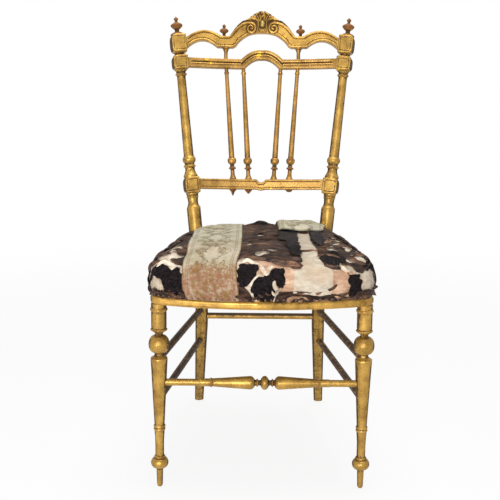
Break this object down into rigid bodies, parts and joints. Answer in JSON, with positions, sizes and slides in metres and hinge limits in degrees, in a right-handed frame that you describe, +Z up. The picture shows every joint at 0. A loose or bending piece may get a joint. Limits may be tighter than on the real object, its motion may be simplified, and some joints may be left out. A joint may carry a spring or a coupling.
{
  "type": "side chair",
  "caption": "Gilt wood ballroom side chair with turned legs and posts, arched spindle back, bowed seat frame and a worn upholstered seat.",
  "frame": {"origin": "middle of the bounding box on the floor under the chair", "axes": "+Z up, the front of the seat faces -Y, +X to the right of somebody looking at the front"},
  "size_m": [0.4318, 0.5556, 0.9297],
  "materials": {
    "gilt_wood": "aged leaf gilding over red-brown bole, satin",
    "worn_gilt": "gilding worn through to red-brown bole, satin",
    "dark_wood": "dark bare wood, satin",
    "jute": "coarse woven",
    "silk": "worn silk with bare muslin in the splits",
    "brocade": "woven brocade, faded"
  },
  "bodies": {
    "root": {"front_leg_left": "gilt_wood", "front_leg_right": "gilt_wood", "rear_post_left": "gilt_wood", "rear_post_right": "gilt_wood", "lower_back_rail": "gilt_wood", "arched_rail": "gilt_wood", "crest_rail": "gilt_wood", "crest_carving": "gilt_wood", "crest_cabochon": "gilt_wood", "spindle_outer_left": "gilt_wood", "spindle_inner_left": "gilt_wood", "short_spindle_left": "gilt_wood", "spindle_outer_right": "gilt_wood", "spindle_inner_right": "gilt_wood", "short_spindle_right": "gilt_wood", "front_stretcher": "gilt_wood", "back_stretcher": "gilt_wood", "seat_rail_front": "gilt_wood", "seat_rail_left": "gilt_wood", "seat_rail_right": "gilt_wood", "seat_rail_back": "gilt_wood", "crest_finial_left": "worn_gilt", "crest_finial_right": "worn_gilt", "drop_outer_left": "worn_gilt", "drop_inner_left": "worn_gilt", "drop_outer_right": "worn_gilt", "upper_side_stretcher_left": "dark_wood", "upper_side_stretcher_right": "dark_wood", "lower_side_stretcher_left": "dark_wood", "lower_side_stretcher_right": "dark_wood", "webbing": "jute", "hessian": "jute", "seat_pad": "silk", "brocade_band": "brocade", "brocade_remnant": "brocade"}
  },
  "joints": []
}
